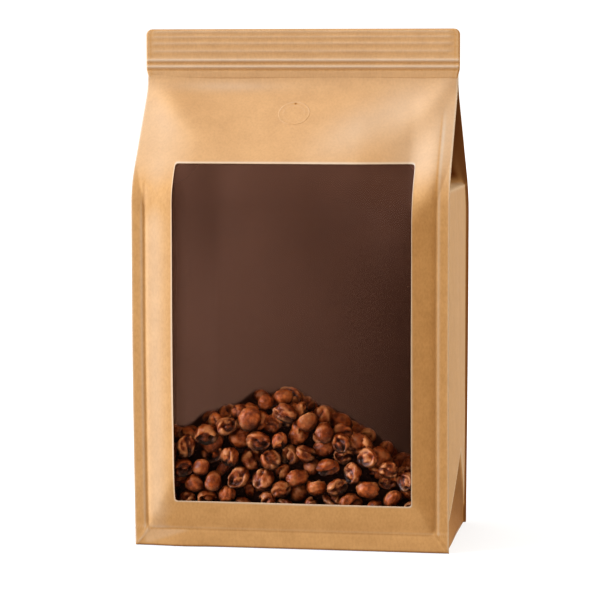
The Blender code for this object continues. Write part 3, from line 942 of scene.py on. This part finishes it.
def bean_forms(count, rows, columns, rng):
    """Beans of half sizes 1: a ball, flattened below, with a rolled rim round a hollow and a bent crease.

    Each has its own bend, rim, hollow, crease and wrinkles; a wrinkle is a sine wave along a slanting
    direction. The second result is painted shade in the crease, the hollow and the wrinkle dips, and under 0
    painted highlights on the lips, the rim and the crests.
    """
    tilt = np.linspace(0, np.pi, rows)[None, :, None]
    spin = np.linspace(0, 2 * np.pi, columns, endpoint=False)[None, None, :]
    bow, lip, depth, width, dish, off_x, off_y = (
        rng.uniform(low, high, (count, 1, 1))
        for low, high in (
            bow_range, lip_range, crease_depths, crease_widths, dish_range, dish_off_x, dish_off_y
        )
    )
    x = np.cos(tilt) * np.ones_like(spin) * np.ones_like(bow)
    y, z = np.sin(tilt) * np.cos(spin) + 0 * bow, np.sin(tilt) * np.sin(spin) + 0 * bow
    off_crease = y - bow * np.sin(np.pi * x)
    ends = np.clip(1 - x**4, 0, 1)
    under = np.clip(-z * under_sets_in, 0, 1)
    lips = bump_at(np.abs(off_crease), lip_out, lip_width) * ends * under
    crease = bump_at(off_crease, 0, width) * ends * under
    from_middle = np.hypot(x - off_x, y - off_y)
    rim = bump_at(from_middle, rim_out, rim_breadth) * np.clip(-z * rim_sets_in, 0, 1)
    moat = bump_at(from_middle, moat_out, moat_breadth) * under
    z = np.where(z < 0, flattening * z, z) - lip * lips + depth * crease
    z = z - rim_share * dish * rim + dish * moat
    points = np.stack([x, y, z], axis=-1)
    swell = np.zeros_like(x)
    for waves, height in wrinkles:
        slant = rng.normal(size=(count, 1, 1, 3)) * waves
        swell = swell + height * np.sin((points * slant).sum(axis=-1) + rng.uniform(0, 6.28, (count, 1, 1)))
    points = points * (1 + swell[..., None] * np.where(np.sin(tilt) > 0.01, 1.0, 0.0)[..., None])
    # Painted shade in hollows and dips, painted highlights on lips, rim and crests
    dark = np.clip(crease_dark * crease + moat_dark * dish * moat - dip_dark * swell, 0, 1)
    on_wrinkles = np.clip(wrinkle_light * swell, 0, most_wrinkle_light)
    light = lips_light * lips + rim_light * dish * rim + on_wrinkles
    return points, dark - light * (1 - dark)


light_from_above, light_from_front, light_starts, light_grows_over = 0.5, 0.6, 0.35, 0.85


def beans_object(name, place, half_size, turn, rows, columns, seed, roast_and_light_range):
    """All the beans as one mesh: their forms are stretched, turned and moved, as whole arrays.

    A place on a bean gets painted shade as far as it looks down or away from the film.
    """
    count = len(place)
    rng = np.random.default_rng(seed)
    points, crease = bean_forms(count, rows, columns, rng)
    points = points.reshape(count, -1, 3) * half_size[:, None, :]
    points = np.einsum("nij,nkj->nki", turn, points)
    side = points / np.linalg.norm(points, axis=2, keepdims=True)
    lit = light_from_above * side[..., 2] - light_from_front * side[..., 1]
    # Painted shade: darker where a bean faces down or away from the film
    buried = 1 - ease((lit + light_starts) / light_grows_over)
    points = points + place[:, None, :]
    faces = grid_faces(rows, columns, closed=True)[None] + (np.arange(count) * rows * columns)[:, None, None]
    shade = np.repeat(rng.uniform(*roast_and_light_range, count), rows * columns)
    beans = mesh_object(name, points, faces.reshape(-1, 4), roast=shade, crease=crease, buried=buried)
    merge_points(beans, "close ends", 0.000005)
    beans.data.materials.append(roasted)
    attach(beans, "root")
    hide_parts("bean_heap")


# bean_raised is the painted highlight colour, bean_hollow the painted shade colour
bean_brown, bean_raised = (0.26, 0.050, 0.008), (0.46, 0.165, 0.052)
bean_hollow, bean_buried = (0.050, 0.007, 0.002), (0.012, 0.003, 0.001)
bean_sheen = (1.0, 0.76, 0.56)

roasted, roast_tree, roast_shader = new_material("roasted_beans", bean_brown, 0.38, specular=0.26)
roast_shader.inputs["Specular Tint"].default_value = (*bean_sheen, 1)
roast_colour = ramp_node(
    roast_tree,
    attribute_node(roast_tree, "roast"),
    (0.0, (0.160, 0.026, 0.003)),
    (0.5, (0.235, 0.044, 0.006)),
    (1.0, (0.400, 0.090, 0.017)),
)
roast_noise = noise_node(roast_tree, 420, detail=5.0)
roast_cloud = ramp_node(roast_tree, roast_noise, (0.32, (0.50, 0.42, 0.36)), (0.66, (1.35, 1.40, 1.45)))
crease = attribute_node(roast_tree, "crease")
roast_mixed = mix_node(roast_tree, "MULTIPLY", 1.0, roast_colour, roast_cloud)
# Painted highlights and painted shade from the crease attribute
hollow, raised = above_and_below(roast_tree, crease)
roast_raised = mix_node(roast_tree, "MIX", raised, roast_mixed, bean_raised)
roast_hollow = mix_node(roast_tree, "MIX", hollow, roast_raised, bean_hollow)
# Painted shade on the beans' undersides and backs
roast_buried = mix_node(
    roast_tree, "MIX", attribute_node(roast_tree, "buried"), roast_hollow, bean_buried
)
roast_tree.links.new(roast_buried, roast_shader.inputs["Base Color"])
bean_grain = noise_node(roast_tree, 600, detail=5.0)
bump_node(roast_tree, roast_shader, bean_grain, strength=0.9, distance=0.0008)

settle_rounds = 140
beans_at_film = settle_beans(98, settle_rounds, seed=71, by_film=True)
beans_on_top = settle_beans(150, settle_rounds, seed=83, by_film=False)
# Each bean gets a random roast; the beans over the heap take the paler end of the ramp as painted light
beans_object("beans_by_film", *beans_at_film, rows=25, columns=30, seed=73, roast_and_light_range=(0.0, 0.7))
beans_object("beans_on_heap", *beans_on_top, rows=19, columns=24, seed=79, roast_and_light_range=(0.3, 1.0))

core_depth, core_foot, core_side, core_step = 0.0085, 0.0040, 0.0015, 0.002
core_columns, core_rows = 60, 40
core_skin = 0.0008


def heap_core():
    """The dark inside of the heap: its surface let down by the beans' depth, with walls to a level foot."""
    u = np.linspace(-1, 1, core_columns)[None, :]
    v = np.linspace(-1, 1, core_rows)[:, None]
    x = u * (heap_half - core_depth - core_side) * np.ones_like(v)
    front, rear = heap_walls(x, np.full_like(x, wall_level))
    y = blend(front + core_depth, rear - core_depth, (v + 1) / 2)
    z = np.maximum(heap_top(x, y) - core_depth, core_foot + core_step)
    return np.pad(x, 1, mode="edge"), np.pad(y, 1, mode="edge"), np.pad(z, 1, constant_values=core_foot)


core = sheet_object("heap_core", *heap_core(), 0.0, (0, 0, 1))
thicken(core, "core depth", core_skin)
heap_shadow, _ = make_clouded("heap_shadow", 0.8, 0.1, 300, (0.02, 0.006, 0.003), (0.05, 0.016, 0.008))
core.data.materials.append(heap_shadow)
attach(core, "root")
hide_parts("bean_heap")

# ---- Window film -----------------------------------------------------
# A clear film is welded to the inside of the front round the window. It is thin and slightly slack, so soft
# upright ripples run down from its head. It is faintly tinted, and above the beans a brownish haze veils it,
# heavier at the left as painted light, with upright streaks of painted sheen.

film_thickness = 0.00012
film_colour = (0.36, 0.160, 0.088)
film_columns = 190
film_rows = ((film_low.z, 12), (film_low.z + 0.025, 100), (film_low.z + 0.057, 70))
film_gap, film_slack, film_ripple_gap = 0.00008, 0.00035, 0.0001
slack_edge = 0.004
ripple_height, ripple_width, ripple_stretch = 0.00022, 0.011, 0.22
ripple_rise = (0.07, 0.08)


def film_sheet():
    """The front panel's own surface, set back behind the paper, with bell-shaped upright ripples."""
    x = np.linspace(film_low.x, film_high.x, film_columns)[None, :]
    z = levels_up(film_rows, film_high.z)
    ripple = ripple_height * rumple(x, z * ripple_stretch, ripple_width, 61) * climb(z, *ripple_rise)
    from_side = np.minimum(x - film_low.x, film_high.x - x)
    lap = np.minimum(from_side, np.minimum(z - film_low.z, film_high.z - z))
    slack = climb(lap, film_lap, slack_edge)
    y = panel_y(x, z, -1) + paper + film_gap + film_slack * slack + (ripple + film_ripple_gap) * slack
    return x, y, z


view_right, view_up = 0.16, 0.10
dome_edge, roof_top = 0.707, 1.414
skyline_blur = 0.0022


def skyline(across):
    """The outline of the beans seen from the front: a dome over each, carried on as a roof that slopes at 1.

    A bean behind the film shows a little to the right and a little higher than it lies.
    """
    height = np.full(across.shape, film_low.z)
    for place, half_size, turn in (beans_at_film, beans_on_top):
        reach = reach_of(half_size, turn)
        depth = place[:, 1] - heap_walls(place[:, 0], place[:, 2])[0]
        off = np.abs(across[:, None] - place[:, 0] - view_right * depth) / reach[:, 0]
        dome = np.where(off < dome_edge, np.sqrt(np.clip(1 - off**2, 0, 1)), roof_top - off)
        height = np.maximum(height, (place[:, 2] + view_up * depth + reach[:, 2] * dome).max(axis=1))
    near = bump_at(across[:, None], across, skyline_blur)
    return (near @ height) / near.sum(axis=1)


haze_starts_below, haze_grows_over = 0.0006, 0.0024
head_veil, foot_veil = (0.082, 0.084), (0.125, 0.026)
head_veil_share, head_veil_rise = 0.7, (0.105, 0.05)
streak_height, streak_width, streak_stretch = 0.22, 0.009, 0.12
streak_rise = (0.10, 0.04)
bare_film = 0.002


def film_haze(x, z):
    """How much the film veils: almost nothing before the beans; above them more at the left as painted
    light, with upright streaks of painted sheen.
    """
    columns, column_of = np.unique(x, return_inverse=True)
    above_beans = ease((z - skyline(columns)[column_of] + haze_starts_below) / haze_grows_over)
    to_right = (x - film_low.x) / (film_high.x - film_low.x)
    # Painted sheen: upright streaks in the veil
    streaks = streak_height * rumple(x, z * streak_stretch, streak_width, 67)
    streaks = 1 + streaks * climb(z, *streak_rise)
    # Painted light: low down the veil is heavier at the left and thins to the right
    at_head = blend(*head_veil, to_right**3)
    at_foot = blend(*foot_veil, np.clip(1.1 * to_right**1.5, 0, 1))
    to_head = head_veil_share * climb(z, *head_veil_rise)
    return bare_film + above_beans * (blend(at_foot, at_head, to_head) * streaks)


window_film = sheet_object("window_film_sheet", *film_sheet(), 0.0, (0, -1, 0))
film_places = np.empty(len(window_film.data.vertices) * 3)
window_film.data.vertices.foreach_get("co", film_places)
film_x, _, film_z = film_places.reshape(-1, 3).T
haze = window_film.data.attributes.new("haze", "FLOAT", "POINT")
haze.data.foreach_set("value", film_haze(film_x, film_z))
thicken(window_film, "film thickness", film_thickness)
film_material, film_tree, film_shader = new_material("clear_film", film_colour, 0.45, specular=0.15)
film_tree.links.new(attribute_node(film_tree, "haze"), film_shader.inputs["Alpha"])
window_film.data.materials.append(film_material)
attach(window_film, "root")
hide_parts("window_film")

# ---- Floor, light and camera -----------------------------------------
# A white studio sweep: a pale floor under a bright even sky, and one large soft lamp far round to the left,
# a little above the bag, which rakes across the front. A grey flag stands at the front right.

floor_greys = (0.325, 0.325, 0.325), (0.335, 0.335, 0.335)
floor_glow = 0.49
bpy.ops.mesh.primitive_plane_add(size=12)
floor = bpy.context.object
floor.name = "floor"
floor_white, floor_shader = make_clouded("floor_white", 1.0, 0.0, 3, *floor_greys)
floor_shader.inputs["Emission Color"].default_value = (1, 1, 1, 1)
floor_shader.inputs["Emission Strength"].default_value = floor_glow
floor.data.materials.append(floor_white)

scene = bpy.context.scene
scene.view_settings.view_transform = "Standard"
scene.view_settings.look = "Medium High Contrast"
sky_strength = 0.92
toward_flag = (0.70, -0.71, 0.0)
world = bpy.data.worlds.new("studio")
scene.world = world
world.use_nodes = True
sky_tree = world.node_tree
sky = sky_tree.nodes["Background"]
sky.inputs["Strength"].default_value = sky_strength
toward_sky = sky_tree.nodes.new("ShaderNodeTexCoord")
facing_flag = sky_tree.nodes.new("ShaderNodeVectorMath")
facing_flag.operation = "DOT_PRODUCT"
facing_flag.inputs[1].default_value = toward_flag
sky_tree.links.new(toward_sky.outputs["Object"], facing_flag.inputs[0])
flag_grey = (0.4, 0.4, 0.4)
flag_shade = ramp_node(sky_tree, facing_flag.outputs["Value"], (0.0, (1.0, 1.0, 1.0)), (0.8, flag_grey))
sky_tree.links.new(flag_shade, sky.inputs["Color"])


def soft_sun(name, toward, softness, colour, strength):
    """A broad lamp so far off that it lights everything evenly; softness is its width in degrees."""
    lamp = bpy.data.lights.new(name, "SUN")
    lamp.angle = np.radians(softness)
    lamp.color = colour
    lamp.energy = strength
    holder = bpy.data.objects.new(name, lamp)
    yaw = np.arctan2(-toward[0], -toward[1])
    pitch = np.arctan2(-toward[2], np.hypot(toward[0], toward[1]))
    holder.rotation_euler = (np.pi / 2 + pitch, 0, -yaw)
    scene.collection.objects.link(holder)


soft_sun("key_lamp", (-0.80, -0.26, 0.21), 40, colour=(0.85, 1.14, 1.74), strength=5.85)
soft_sun("fill_lamp", (0.90, 0.25, 0.50), 60, colour=(1.0, 1.0, 0.95), strength=1.4)
soft_sun("top_lamp", (0.25, -0.15, 0.95), 50, colour=(1.0, 1.0, 1.0), strength=0.9)

camera_tilt_down, camera_turn = 5.10, 9.044
camera_data = bpy.data.cameras.new("camera")
camera = bpy.data.objects.new("camera", camera_data)
scene.collection.objects.link(camera)
camera.location = (0.17066, -1.08604, 0.20081)
camera.rotation_euler = np.radians((90 - camera_tilt_down, 0, camera_turn))
camera_data.sensor_width = 36
camera_data.lens = 152
scene.camera = camera
